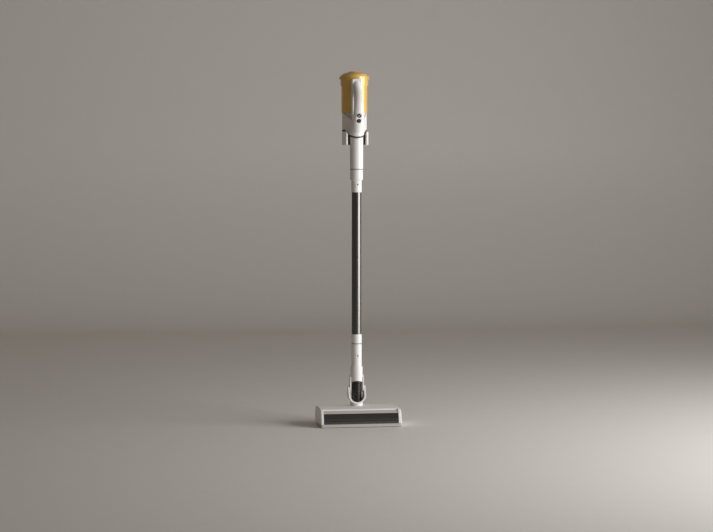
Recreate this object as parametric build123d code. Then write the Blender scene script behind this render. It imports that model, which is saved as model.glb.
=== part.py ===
"""Cordless stick vacuum: a bagless body with a loop handle and a see-through dust cup, a slip-on battery, a thin
round wand and a powered floor head on a two-axis neck. Millimetres, +Z up, the head's front faces -Y."""
from build123d import *

import os
from math import cos, radians, sin, sqrt

# ---------------------------------------------------------------- fits and walls
GAP = 0.3  # between moving pieces
RUN_GAP = 0.08  # shaft in a bearing, radial
JOINT_GAP = 2.0  # shadow line where two tubes meet
WALL = 2.4  # moulded housings
THIN_WALL = 2.0  # cup and head shells

# ---------------------------------------------------------------- heights, stacked from the floor up
PIVOT_Z = 96.0  # fold axis of the neck
SOCKET_FOOT_Z = 119.0
SOCKET_LENGTH = 101.0
LOWER_COLLAR_LENGTH = 27.0
TUBE_SHOWN = 390.0
SMALL_COLLAR_LENGTH = 31.0
COLLAR_TAPER = 4.0
WIDE_COLLAR_LENGTH = 29.0
NECK_SHOWN = 86.0
HOUSING_LENGTH = 67.0
CUP_LENGTH = 75.0
CUP_BAND_LENGTH = 24.0
LID_RISE = 15.0

SOCKET_TOP_Z = SOCKET_FOOT_Z + SOCKET_LENGTH
TUBE_FOOT_Z = SOCKET_TOP_Z + LOWER_COLLAR_LENGTH
TUBE_HEAD_Z = TUBE_FOOT_Z + TUBE_SHOWN
COLLAR_STEP_Z = TUBE_HEAD_Z + SMALL_COLLAR_LENGTH
NECK_FOOT_Z = COLLAR_STEP_Z + COLLAR_TAPER + WIDE_COLLAR_LENGTH
HOUSING_Z = NECK_FOOT_Z + NECK_SHOWN
CUP_Z = HOUSING_Z + HOUSING_LENGTH
BAND_Z = CUP_Z + CUP_LENGTH
LID_Z = BAND_Z + CUP_BAND_LENGTH
TOP_Z = LID_Z + LID_RISE

# ---------------------------------------------------------------- wand
WAND_R = 13.2
WAND_WALL = 1.0
TUBE_INSERT = 13.0  # tube length held in each collar
COLLAR_WALL = 1.1
COLLAR_R = WAND_R + COLLAR_WALL
AIRWAY_R = WAND_R - 2.2
NECK_R = 18.2
NECK_WALL = 2.6
NECK_SPIGOT_R = NECK_R - 3.6
WIDE_COLLAR_R = NECK_SPIGOT_R + GAP + 2.7
NECK_SPIGOT_LENGTH = 24.0
SPIGOT_WALL = 2.2
WAND_SPIGOT_R = AIRWAY_R + 1.4
WAND_SPIGOT_LENGTH = 18.0
SOCKET_WIDE_LENGTH = 39.0

# ---------------------------------------------------------------- buttons
LATCH_R = 5.2
LATCH_TRAVEL = 0.8
LATCH_DEPTH = 2.2
ARROW_HALF = 3.2
ARROW_Z = (1.7, -2.3)  # from the button's centre
ARROW_DEPTH = 0.4
LATCH_FROM_JOINT = 32.5  # button centre below its joint
KEY_R = 5.9
KEY_TRAVEL = 1.0
KEY_SPACING = 15.6
KEY_STAND = 0.9  # key face above its bezel
BEZEL_HALF = (7.6, 15.6)
BEZEL_Y, BEZEL_Z = -43.0, 839.0
BEZEL_TILT = 27.0  # degrees the bezel faces down

# ---------------------------------------------------------------- motor housing, handle
CUP_Y = 38.0
HOUSING_R = 33.9
NOSE_R = NECK_R + 2.1
SHELF_DROP = 20.0  # finger gap floor below the cup
SHELF_REAR_Y = 27.0
SPINE_HALF = 14.5
SPINE_FRONT_Y = -10.5
SPINE_TOP_Z = LID_Z - 7.0
SPINE_GAP = 0.5
GRIP = [  # centre y, z above the housing foot, half width, half depth
    (-3.0, 12.0, 16.5, 16.0),
    (-15.0, 27.0, 16.0, 14.5),
    (-28.0, 43.0, 15.2, 12.2),
    (-37.0, 60.0, 14.6, 10.8),
    (-41.5, 79.0, 13.8, 10.4),
    (-38.0, 99.0, 12.6, 10.2),
    (-27.0, 117.0, 11.6, 9.8),
    (-14.0, 134.0, 11.0, 8.8),
    (-4.5, 152.0, 10.6, 6.8),
]
SEAM = [  # half width, height above the housing foot
    (0.0, 2.2), (8.0, 2.9), (15.0, 4.9), (20.0, 7.4), (23.0, 11.0), (26.0, 15.4), (29.5, 19.6), (33.0, 21.2), (38.0, 21.4),
]
SEAM_STEP_Y = 18.0  # behind the neck the seam runs level
SEAM_BAND = 4.4
NOSE_STRIP = 9.5  # housing foot to grip cover
NECK_IN_HOUSING = 9.5
PORT_Z = (CUP_Z + 9.0, CUP_Z + 27.0)
PORT_HALF = 9.0
MOTOR_R = 21.0
FAN_R = 23.0
SHROUD_R = 26.0

# ---------------------------------------------------------------- dust cup
CUP_R = 35.8
BAND_STEP = 2.6
BAND_R = CUP_R + BAND_STEP
MESH_R = 21.0
CORE_TOP_Z = BAND_Z + 14.0
CELL_WELL_R = 20.0
PLEAT_R = (10.0, 18.4)
PLEATS = 24
LID_KNOB_R = 18.0
HINGE_R = 2.2
CATCH_PIN_R = 0.6
CATCH_X = BAND_R + 1.3
CATCH_Z = LID_Z - 4.6

# ---------------------------------------------------------------- battery
BATTERY_HALF = 32.0
BATTERY_Y = (22.0, 64.0)
BATTERY_DROP = 21.0  # block below the housing foot
BATTERY_CORNER = 8.0
CHEEK_INNER_X = 24.6  # cheeks of the battery either side of the neck
CHEEK_FRONT_Y = -8.0
CHEEK_CORNER = 3.4
BATTERY_WALL = 1.6
CELL_R = 8.4
CELL_LENGTH = 46.0
CELL_X = -28.4
RAIL_HALF = CHEEK_INNER_X - 0.4
RAIL_FRONT_Y = -2.0
JACK_X = 22.6
JACK_R = 2.8
JACK_LENGTH = 9.0

# ---------------------------------------------------------------- neck and hose
HOSE_R = 14.6
HOSE_VALLEY_R = HOSE_R - 1.2
HOSE_BORE_R = HOSE_R - 2.6
SOCKET_WIDE_R = HOSE_R + GAP + 1.9
HOSE_PITCH = 6.2
HOSE_RINGS = 11
YOKE_BORE_R = HOSE_R + 5.0
YOKE_R = YOKE_BORE_R + 4.5
YOKE_CENTRE_Z = 80.0
YOKE_DEPTH = 37.0
ARCH_R = 30.0  # front and rear arches of the socket foot
EAR_R = 9.0
EAR_THICKNESS = 3.4
PIN_R = 2.5
HUB_R = 17.0
HUB_FOOT_Z = 34.0
HUB_BORE_R = HOSE_R + 0.4

# ---------------------------------------------------------------- floor head
HEAD_HALF = 111.0
END_CAP = 8.0
HEAD_FRONT_Y = -92.0
HEAD_REAR_Y = 32.0
HEAD_TOP_Z = 51.0
SOLE_Z = 4.0
HEAD_WALL = 2.2
SPLIT_Z = 26.0
BUMPER_Z = (1.5, 9.5)
BUMPER_DEPTH = 4.0
ROLLER_Y = -62.0
ROLLER_Z = 21.0
CHAMBER_R = 20.6
WINDOW_R = CHAMBER_R + 3.0
WINDOW_FOOT_Z = 17.0
TRIM_FOOT_Z = 37.0
LIP_Y = -67.5
ROLLER_CORE_R = 10.0
BRISTLE_R = CHAMBER_R - 2.1
ROLLER_HALF = 91.0
BRISTLE_ROWS = 4
BRISTLE_TWIST = 150.0
BRISTLE_THICKNESS = 3.0
PLATE_X = (93.5, 95.5)  # roller end plates
BAY_X = 100.6
BRUSH_MOTOR_R = 12.0
BRUSH_MOTOR_Y = -15.0
BRUSH_MOTOR_Z = 24.0
BRUSH_MOTOR_X = (-92.0, -48.0)
MOTOR_PULLEY_R = 5.0
ROLLER_PULLEY_R = 11.0
BELT_X = -98.0
BELT_WIDTH = 3.6
BELT_THICKNESS = 1.4
WHEEL_R = 9.0
WHEEL_WIDTH = 8.0
WHEEL_X, WHEEL_Y = 78.0, 19.0
CASTOR_R = 4.2
CASTOR_WIDTH = 10.0
CASTOR_X, CASTOR_Y = 66.0, -33.0
AXLE_R = 1.5
DUCT_HALF = 18.0
BOSS_FOOT_Z = 43.1  # ring of the cover that keeps the hub in

# the origin lies on the floor under the middle of the whole object's length
FRAME_SHIFT_Y = -(HEAD_FRONT_Y + CUP_Y + BAND_R) / 2

nodes = {}


# ---------------------------------------------------------------- helpers
def drum(radius, z_low, z_high, x=0.0, y=0.0):
    """Upright cylinder between two heights."""
    return Pos(x, y, (z_low + z_high) / 2) * Cylinder(radius, z_high - z_low)


def pipe(outer, inner, z_low, z_high, x=0.0, y=0.0):
    """Upright tube between two heights."""
    return drum(outer, z_low, z_high, x, y) - drum(inner, z_low - 1, z_high + 1, x, y)


def block(x, y, z):
    """Box from three (low, high) pairs."""
    size = [high - low for low, high in (x, y, z)]
    return Pos(*[(low + high) / 2 for low, high in (x, y, z)]) * Box(*size)


def axle(radius, x_low, x_high, y, z):
    """Cylinder along X."""
    return Pos((x_low + x_high) / 2, y, z) * Rot(0, 90, 0) * Cylinder(radius, x_high - x_low)


def lug(radius, y_low, y_high, x, z):
    """Cylinder along Y."""
    return Pos(x, (y_low + y_high) / 2, z) * Rot(90, 0, 0) * Cylinder(radius, y_high - y_low)


def side_slab(points, half, smooth=0):
    """Prism along X from a (y, z) outline; the first `smooth` points are joined by a spline."""
    run = [(0, y, z) for y, z in points]
    edges = [Spline(*run[:smooth])] if smooth else []
    corners = run[smooth - 1:] if smooth else run
    edges.append(Polyline(*corners, run[0]))
    return extrude(make_face(edges), half, dir=(1, 0, 0), both=True)


# ---------------------------------------------------------------- handle and housing outlines
def front_seam(rise):
    """Everything above the seam line of the front view, moved up by `rise`."""
    right = [(x, 0, HOUSING_Z + z + rise) for x, z in SEAM]
    left = [(-x, y, z) for x, y, z in reversed(right[1:])]
    line = left + right
    edge, high = line[-1], TOP_Z + 50
    frame = Polyline(edge, (120, 0, edge[2]), (120, 0, high), (-120, 0, high), (-120, 0, edge[2]), line[0])
    return extrude(make_face([Spline(*line), frame]), 200, dir=(0, 1, 0), both=True)


def above_seam(rise):
    """Everything above the seam: it dips under the nose and runs level behind the neck."""
    level = HOUSING_Z + SEAM[-1][1] + rise
    return front_seam(rise) - block((-150, 150), (SEAM_STEP_Y, 250), (HOUSING_Z - 60, level))


def bell(inset, z_low, z_high):
    """Housing section: the motor circle and the nose circle joined by tangents."""
    circles = Pos(0, CUP_Y) * Circle(HOUSING_R - inset), Circle(NOSE_R - inset)
    outline = make_hull(circles[0].edges() + circles[1].edges())
    return Pos(0, 0, z_low) * extrude(outline, z_high - z_low)


def shelf(drop):
    """Sloping top of the housing in front of the cup; keeps what is below it."""
    front = CUP_Z - SHELF_DROP - drop
    return side_slab([(-130, front), (SPINE_FRONT_Y, front), (SHELF_REAR_Y, CUP_Z - drop), (120, CUP_Z - drop),
                      (120, HOUSING_Z - 60), (-130, HOUSING_Z - 60)], 100)


def loop(inset):
    """Grip: elliptical sections along the handle's centre line."""
    sections = []
    for i, (y, z, half_width, half_depth) in enumerate(GRIP):
        before, after = GRIP[max(i - 1, 0)], GRIP[min(i + 1, len(GRIP) - 1)]
        direction = (0, after[0] - before[0], after[1] - before[1])
        plane = Plane(origin=(0, y, HOUSING_Z + z), x_dir=(1, 0, 0), z_dir=direction)
        sections.append(plane * Ellipse(half_width - inset, half_depth - inset))
    return loft(sections)


def spine(inset):
    """Upright strip that carries the air up to the cup."""
    body = block((-SPINE_HALF + inset, SPINE_HALF - inset), (SPINE_FRONT_Y + inset, 12 - inset),
                 (HOUSING_Z + 12, SPINE_TOP_Z - inset))
    return fillet(body.edges().filter_by(Axis.Z).group_by(Axis.Y)[0], 4.0 - inset)


def handle_body(inset):
    """Outline of housing, spine and grip together."""
    seat = drum(HOUSING_R - 3 - inset, HOUSING_Z + 30, CUP_Z - inset, y=CUP_Y)
    whole = (bell(inset, HOUSING_Z - 5, CUP_Z + 5) & shelf(inset * 1.15)) + seat + spine(inset) + loop(inset)
    whole -= drum(CUP_R + SPINE_GAP + inset, CUP_Z - inset, TOP_Z, y=CUP_Y)
    return whole - drum(BAND_R + SPINE_GAP + inset, BAND_Z - 1.5 - inset, TOP_Z, y=CUP_Y)


def front_region():
    """Everything in front of the grip's centre line."""
    line = [(y, HOUSING_Z + z) for y, z, _, _ in GRIP]
    return side_slab(line + [(line[-1][0], TOP_Z + 40), (-130, TOP_Z + 40), (-130, HOUSING_Z + NOSE_STRIP),
                             (line[0][0], HOUSING_Z + NOSE_STRIP)], 100, len(line))


BEZEL_PLANE = Plane(origin=(0, BEZEL_Y, BEZEL_Z), x_dir=(1, 0, 0),
                    z_dir=(0, -cos(radians(BEZEL_TILT)), -sin(radians(BEZEL_TILT))))


def on_bezel(shape, along=0.0, out=0.0):
    """Place a shape drawn about +Z onto the bezel plane."""
    return BEZEL_PLANE * Pos(0, along, out) * shape


def build_handle():
    """Housing, grip cover, keys and the works inside the housing."""
    shell = (handle_body(0.0) - handle_body(WALL)) & above_seam(0.0)
    shell -= drum(NECK_R, HOUSING_Z - 10, HOUSING_Z + 12)
    pocket = on_bezel(extrude(SlotOverall(2 * BEZEL_HALF[1], 2 * BEZEL_HALF[0], rotation=90), 20))
    back = on_bezel(extrude(SlotOverall(2 * BEZEL_HALF[1] + 3, 2 * BEZEL_HALF[0] + 3, rotation=90), -2.4))
    front = front_region()
    cover = ((shell & front) + (back & loop(0.0))) - pocket
    for side in (-1, 1):
        cover -= on_bezel(Cylinder(KEY_R + GAP, 12), side * KEY_SPACING / 2)
    nodes["grip_cover"] = cover
    body = shell - front - back
    body -= drum(13.0, CUP_Z - 6, CUP_Z + 1, y=CUP_Y)
    body -= block((-PORT_HALF, PORT_HALF), (-2, 8), PORT_Z)
    window = (HOUSING_Z + 30, HOUSING_Z + 50)
    body -= block((-18, 18), (CUP_Y + 20, CUP_Y + 50), window)
    body -= block((-3.2, 3.2), (-4.8, -0.4), (SPINE_TOP_Z - 9.5, SPINE_TOP_Z + 5))
    nodes["body_shell"] = body

    grille = pipe(HOUSING_R, HOUSING_R - WALL, *window, y=CUP_Y) & block((-18, 18), (CUP_Y + 20, CUP_Y + 50), window)
    for k in range(5):
        z = window[0] + 3.0 + 3.5 * k
        grille -= block((-15, 15), (CUP_Y + 20, CUP_Y + 50), (z - 0.9, z + 0.9))
    nodes["exhaust_grille"] = grille
    filter_r = HOUSING_R - WALL
    nodes["exhaust_filter"] = (pipe(filter_r - 0.1, filter_r - 4, *window, y=CUP_Y)
                               & block((-17, 17), (CUP_Y + 20, CUP_Y + 50), window))

    bezel = on_bezel(extrude(SlotOverall(2 * BEZEL_HALF[1] - 0.2, 2 * BEZEL_HALF[0] - 0.2, rotation=90), 1.5))
    for side in (-1, 1):
        bezel -= on_bezel(Cylinder(KEY_R + GAP, 12), side * KEY_SPACING / 2)
    nodes["key_bezel"] = bezel
    board_out = -6.4
    board = on_bezel(Box(15, 27, 1.0), 0, board_out)
    for name, side in (("power_key", 1), ("mode_key", -1)):
        cap = Pos(0, 0, (1.5 + KEY_STAND - 2.6) / 2) * Cylinder(KEY_R, 1.5 + KEY_STAND + 2.6)
        cap = fillet(cap.edges().group_by(Axis.Z)[-1], 0.6)
        stem = Pos(0, 0, -3.2) * Cylinder(1.4, 1.4)
        nodes[name] = on_bezel(cap + stem, side * KEY_SPACING / 2)
        board += on_bezel(Box(5.2, 5.2, 0.8), side * KEY_SPACING / 2, board_out + 0.8)
    nodes["control_board"] = board

    latch = block((-3.0, 3.0), (-4.4, -0.7), (SPINE_TOP_Z - 7, SPINE_TOP_Z + 1.8))
    nodes["cup_latch"] = fillet(latch.edges().group_by(Axis.Z)[-1], 0.8)

    # the works
    z = HOUSING_Z
    can = pipe(MOTOR_R, MOTOR_R - 1.4, z + 26, z + 44, y=CUP_Y) + pipe(MOTOR_R, 2.6, z + 24.8, z + 26, y=CUP_Y)
    can += pipe(MOTOR_R, 2.6, z + 44, z + 45.2, y=CUP_Y)
    nodes["motor_can"] = can
    fan = drum(2.5, z + 24.8, z + 56, y=CUP_Y) + drum(MOTOR_R - 2.4, z + 28, z + 42, y=CUP_Y)
    fan += drum(FAN_R, z + 47, z + 48.2, y=CUP_Y) + drum(5, z + 47, z + 57, y=CUP_Y)
    for k in range(9):
        blade = Rot(0, 0, 40 * k) * Pos(13.4, 0, z + 51) * Rot(0, 0, 28) * Box(17, 1.2, 7)
        fan += Pos(0, CUP_Y, 0) * blade
    nodes["fan_rotor"] = fan
    shroud = pipe(SHROUD_R, SHROUD_R - 1.4, z + 45.6, z + 58, y=CUP_Y) + pipe(SHROUD_R, 11, z + 58, z + 59.4, y=CUP_Y)
    nodes["fan_shroud"] = shroud
    nodes["motor_mount"] = pipe(HOUSING_R - WALL - 0.1, MOTOR_R, z + 22.5, z + 27.5, y=CUP_Y) - drum(14.0, z, CUP_Z, y=-4.6)
    duct = []
    for wall in (1.2, 0.0):
        duct.append(loft([Pos(0, 0, z + NECK_IN_HOUSING + 0.1) * Circle(NECK_R - NECK_WALL + 1.2 - wall),
                          Pos(0, -4.6, z + 26) * Circle(11.1 - wall),
                          Pos(0, -4.4, z + 43) * Ellipse(10.3 - wall, 3.4 - wall)]))
    nodes["inlet_duct"] = duct[1] - duct[0]
    dock_plate = (bell(-0.3, z - 10, z + 40) & above_seam(-SEAM_BAND)) - above_seam(0.0)
    rail = block((-RAIL_HALF, RAIL_HALF), (RAIL_FRONT_Y, BATTERY_Y[0] - 0.4), (z - BATTERY_DROP + 1, z + 25))
    rail = rail - above_seam(-SEAM_BAND)
    step_wall = block((-HOUSING_R, HOUSING_R), (SEAM_STEP_Y, BATTERY_Y[0] - 0.4), (z, z + SEAM[-1][1]))
    dock = dock_plate + rail + (step_wall & front_seam(-SEAM_BAND) & bell(-0.3, z, z + 30))
    dock -= drum(NECK_R, z - 60, z + 60)
    nodes["battery_dock"] = dock
    nodes["neck_pipe"] = (pipe(NECK_R, NECK_R - NECK_WALL, NECK_FOOT_Z, z + NECK_IN_HOUSING)
                          + pipe(NECK_SPIGOT_R, NECK_SPIGOT_R - SPIGOT_WALL, NECK_FOOT_Z - NECK_SPIGOT_LENGTH, NECK_FOOT_Z)
                          + pipe(NECK_R, NECK_SPIGOT_R - SPIGOT_WALL, NECK_FOOT_Z, NECK_FOOT_Z + 2))
    plate_y = CUP_Y + HOUSING_R
    hook = block((-11, 11), (plate_y - 3.5, plate_y + 3.2), (z + 52, z + 65))
    hook -= block((-8, 8), (plate_y - 0.6, plate_y + 1.2), (z + 51, z + 62))
    nodes["wall_hook"] = hook - drum(HOUSING_R, z, CUP_Z + 5, y=CUP_Y)


def build_cup():
    """Dust cup, its lid and what is inside it."""
    wall = pipe(CUP_R, CUP_R - THIN_WALL, CUP_Z + 0.2, BAND_Z + 10, y=CUP_Y)
    wall += pipe(CUP_R, CELL_WELL_R - 3, CUP_Z + 0.2, CUP_Z + 2.2, y=CUP_Y)
    wall -= block((-PORT_HALF, PORT_HALF), (-2, 8), PORT_Z)
    nodes["cup_wall"] = wall
    band = pipe(BAND_R, CUP_R, BAND_Z, LID_Z, y=CUP_Y)
    band -= block((-60, -BAND_R + 2.4), (CUP_Y - 3.3, CUP_Y + 3.3), (LID_Z - HINGE_R - GAP, LID_Z + 1))
    seal = pipe(27.5, 25.5, CUP_Z + 2.2, CUP_Z + 3.6, y=CUP_Y)
    nodes["cup_seal"] = seal

    profile = [(0, TOP_Z), (LID_KNOB_R - 2, TOP_Z), (LID_KNOB_R, TOP_Z - 2.0), (BAND_R - 12.4, TOP_Z - 3.4),
               (BAND_R - 5.4, TOP_Z - 6.6), (BAND_R - 1.8, TOP_Z - 10.4), (BAND_R, LID_Z + 1.2)]
    line = Polyline(*[(r, 0, z) for r, z in profile])
    face = make_face([line, Polyline((BAND_R, 0, LID_Z + 1.2), (BAND_R, 0, LID_Z + GAP), (0, 0, LID_Z + GAP), (0, 0, TOP_Z))])
    dome = revolve(face, Axis.Z)
    inner = [(0, TOP_Z - 2), (LID_KNOB_R - 2, TOP_Z - 2), (BAND_R - 12.4, TOP_Z - 5.6), (BAND_R - 6.4, TOP_Z - 8.8),
             (BAND_R - 2.8, TOP_Z - 12.6), (BAND_R - 2.2, LID_Z - 1), (0, LID_Z - 1)]
    hollow = revolve(make_face(Polyline(*[(r, 0, z) for r, z in inner], (0, 0, TOP_Z - 2))), Axis.Z)
    lid = Pos(0, CUP_Y, 0) * (dome - hollow)
    hinge_x = -BAND_R - 0.4
    lid -= lug(HINGE_R + GAP, CUP_Y - 7.0, CUP_Y + 7.0, hinge_x, LID_Z)
    knuckle = lug(HINGE_R, CUP_Y - 3, CUP_Y + 3, hinge_x, LID_Z)
    knuckle += block((hinge_x, -BAND_R + 3), (CUP_Y - 3, CUP_Y + 3), (LID_Z + GAP, LID_Z + 2.0))
    lid += knuckle
    lid -= lug(1.0 + RUN_GAP, CUP_Y - 10, CUP_Y + 10, hinge_x, LID_Z)
    nodes["cup_lid"] = lid
    nodes["lid_seal"] = pipe(BAND_R - 3.1, BAND_R - 5.0, LID_Z + GAP, LID_Z + 1.8, y=CUP_Y)
    ears = Part()
    for side in (-1, 1):
        y = CUP_Y + side * 5.0
        ears += lug(HINGE_R, y - 1.7, y + 1.7, hinge_x, LID_Z)
        ears += block((hinge_x - HINGE_R, -CUP_R - 0.6), (y - 1.7, y + 1.7), (LID_Z - 6, LID_Z))
    ears -= drum(BAND_R - 0.6, LID_Z - 10, LID_Z + 10, y=CUP_Y)
    nodes["cup_band"] = band + ears - lug(1.0, CUP_Y - 10, CUP_Y + 10, hinge_x, LID_Z)
    nodes["lid_hinge_pin"] = lug(1.0, CUP_Y - 7.2, CUP_Y + 7.2, hinge_x, LID_Z)
    catch = block((BAND_R + GAP, BAND_R + 2.3), (CUP_Y - 4, CUP_Y + 4), (LID_Z - 6, LID_Z + 2.4))
    catch = fillet(catch.edges().filter_by(Axis.Z).group_by(Axis.X)[-1], 0.9)
    nodes["lid_catch"] = catch - lug(CATCH_PIN_R + RUN_GAP, CUP_Y - 10, CUP_Y + 10, CATCH_X, CATCH_Z)
    for side in (-1, 1):
        y = CUP_Y + side * 5.0
        ear = block((BAND_R - 1.2, CATCH_X), (y - 0.7, y + 0.7), (CATCH_Z - 1.2, CATCH_Z + 1.2))
        ear += lug(1.2, y - 0.7, y + 0.7, CATCH_X, CATCH_Z)
        nodes["cup_band"] += ear - drum(CUP_R + 0.5, 0, TOP_Z, y=CUP_Y)
    nodes["cup_band"] += lug(CATCH_PIN_R, CUP_Y - 5.2, CUP_Y + 5.2, CATCH_X, CATCH_Z)

    frame = pipe(MESH_R + 1.6, MESH_R - 1.6, CUP_Z + 2.2, CUP_Z + 8, y=CUP_Y)
    frame += pipe(MESH_R + 1.6, MESH_R - 1.6, CORE_TOP_Z - 6, CORE_TOP_Z, y=CUP_Y)
    frame += pipe(MESH_R + 1.6, 6, CORE_TOP_Z, CORE_TOP_Z + 1.6, y=CUP_Y)
    posts = [block((-2, 2), (-MESH_R - 1.4, -MESH_R + 1.4), (CUP_Z + 7, CORE_TOP_Z - 5))]
    for k in range(6):
        frame += Pos(0, CUP_Y, 0) * Rot(0, 0, 60 * k) * posts[0]
    frame += pipe(MESH_R, PLEAT_R[0] - 2, CUP_Z + 2.2, CUP_Z + 6, y=CUP_Y)
    nodes["cyclone_frame"] = frame
    mesh = pipe(MESH_R + 0.4, MESH_R - 0.4, CUP_Z + 8, CORE_TOP_Z - 6, y=CUP_Y)
    for k in range(6):
        mesh -= Pos(0, CUP_Y, 0) * Rot(0, 0, 60 * k) * posts[0]
    nodes["filter_mesh"] = mesh
    star = []
    for k in range(2 * PLEATS):
        r = PLEAT_R[k % 2]
        star.append((r * cos(radians(180 * k / PLEATS)), r * sin(radians(180 * k / PLEATS))))
    pleats = extrude(make_face(Polyline(*star, star[0])), CORE_TOP_Z - CUP_Z - 16)
    nodes["pleated_filter"] = Pos(0, CUP_Y, CUP_Z + 6) * pleats - drum(PLEAT_R[0] - 2, CUP_Z, CORE_TOP_Z, y=CUP_Y)


def build_battery():
    """Slip-on battery block behind the neck."""
    low = HOUSING_Z - BATTERY_DROP
    y0, y1 = BATTERY_Y
    middle = (y0 + y1) / 2

    def case(inset, drop):
        """Battery outline, its top following the housing seam."""
        outline = Pos(0, middle, low + inset) * extrude(
            RectangleRounded(2 * (BATTERY_HALF - inset), y1 - y0 - 2 * inset, BATTERY_CORNER - inset), 60)
        cheek_width, cheek_length = BATTERY_HALF - CHEEK_INNER_X, y0 + 16 - CHEEK_FRONT_Y
        plan = RectangleRounded(cheek_width - 2 * inset, cheek_length - 2 * inset, CHEEK_CORNER - inset)
        for side in (-1, 1):
            x = side * (BATTERY_HALF + CHEEK_INNER_X) / 2
            outline += Pos(x, CHEEK_FRONT_Y + cheek_length / 2, low + inset) * extrude(plan, 60)
        ahead = block((-60, 60), (-60, y0 + inset), (low - 10, HOUSING_Z + 60))  # in front of the dock's step wall
        return outline - above_seam(-SEAM_BAND - drop) - (front_seam(-SEAM_BAND - drop) & ahead)

    outer = case(0.0, 0.4)
    outer = fillet(outer.edges().group_by(Axis.Z)[0], 2.0)
    shell = outer - case(BATTERY_WALL, 0.4 + BATTERY_WALL)
    latch_z = low + 12
    shell -= block((-9.3, 9.3), (y1 - 3, y1 + 2), (latch_z - 5.3, latch_z + 5.3))
    jack_z = low + 24
    shell -= lug(4.4, y1 - 5, y1 + 2, JACK_X, jack_z)
    cells = Part()
    for j in (-1, 1):
        for k in (0, 1):
            cells += axle(CELL_R, CELL_X, CELL_X + CELL_LENGTH, middle + j * (CELL_R + 0.1), low + 2 + CELL_R + k * (2 * CELL_R + 0.2))
    nodes["battery_cells"] = cells
    nodes["charge_jack"] = lug(4.3, y1 - JACK_LENGTH - 1, y1 - 0.2, JACK_X, jack_z) - lug(JACK_R, y1 - JACK_LENGTH, y1 + 1, JACK_X, jack_z)
    latch = block((-9, 9), (y1 - 2.2, y1 + 0.8), (latch_z - 5, latch_z + 5))
    nodes["battery_latch"] = fillet(latch.edges().group_by(Axis.Y)[-1], 0.6)
    contacts = Part()
    for x in (-12, 0, 12):
        contacts += block((x - 1.5, x + 1.5), (y0, y0 + 1.4), (low + 18, low + 30))
    nodes["battery_contacts"] = contacts
    nodes["battery_case"] = shell - contacts


def build_wand():
    """Wand tube with its two collars."""
    top = NECK_FOOT_Z - JOINT_GAP
    latch_z = NECK_FOOT_Z - LATCH_FROM_JOINT - 10.5
    collar = drum(COLLAR_R, TUBE_HEAD_Z, COLLAR_STEP_Z) + drum(WIDE_COLLAR_R, COLLAR_STEP_Z + COLLAR_TAPER, top)
    taper = Pos(0, 0, COLLAR_STEP_Z + COLLAR_TAPER / 2) * Cone(COLLAR_R, WIDE_COLLAR_R, COLLAR_TAPER)
    bore_foot = NECK_FOOT_Z - NECK_SPIGOT_LENGTH - 2.0
    collar = collar + taper - drum(NECK_SPIGOT_R + GAP, bore_foot, top + 1) - drum(AIRWAY_R, 0, top)
    collar -= drum(WAND_R, TUBE_HEAD_Z - 1, TUBE_HEAD_Z + TUBE_INSERT)
    collar -= lug(LATCH_R + GAP, -COLLAR_R - 1, -COLLAR_R + 2.9, 0, latch_z)
    nodes["upper_collar"] = collar
    nodes["wand_tube"] = pipe(WAND_R, WAND_R - WAND_WALL, TUBE_FOOT_Z - TUBE_INSERT, TUBE_HEAD_Z + TUBE_INSERT)
    lower = drum(COLLAR_R, SOCKET_TOP_Z + JOINT_GAP, TUBE_FOOT_Z)
    lower += drum(WAND_SPIGOT_R, SOCKET_TOP_Z - WAND_SPIGOT_LENGTH, SOCKET_TOP_Z + JOINT_GAP + 0.1)
    lower -= drum(AIRWAY_R, 0, TUBE_FOOT_Z + 1)
    nodes["lower_collar"] = lower - drum(WAND_R, TUBE_FOOT_Z - TUBE_INSERT, TUBE_FOOT_Z + 1)
    return latch_z


def button(name, radius_at, z):
    """Round push latch set in the front of a collar, with an engraved arrow."""
    face_y = -radius_at - 0.5
    cap = lug(LATCH_R, face_y, face_y + LATCH_DEPTH, 0, z)
    nodes[name] = fillet(cap.edges().group_by(Axis.Y)[0], 0.5)
    high, low = (z + rise for rise in ARROW_Z)
    mark = Polyline((-ARROW_HALF, 0, high), (ARROW_HALF, 0, high), (0, 0, low), (-ARROW_HALF, 0, high))
    nodes[name] -= Pos(0, face_y, 0) * extrude(make_face(mark), ARROW_DEPTH, dir=(0, 1, 0))


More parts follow.
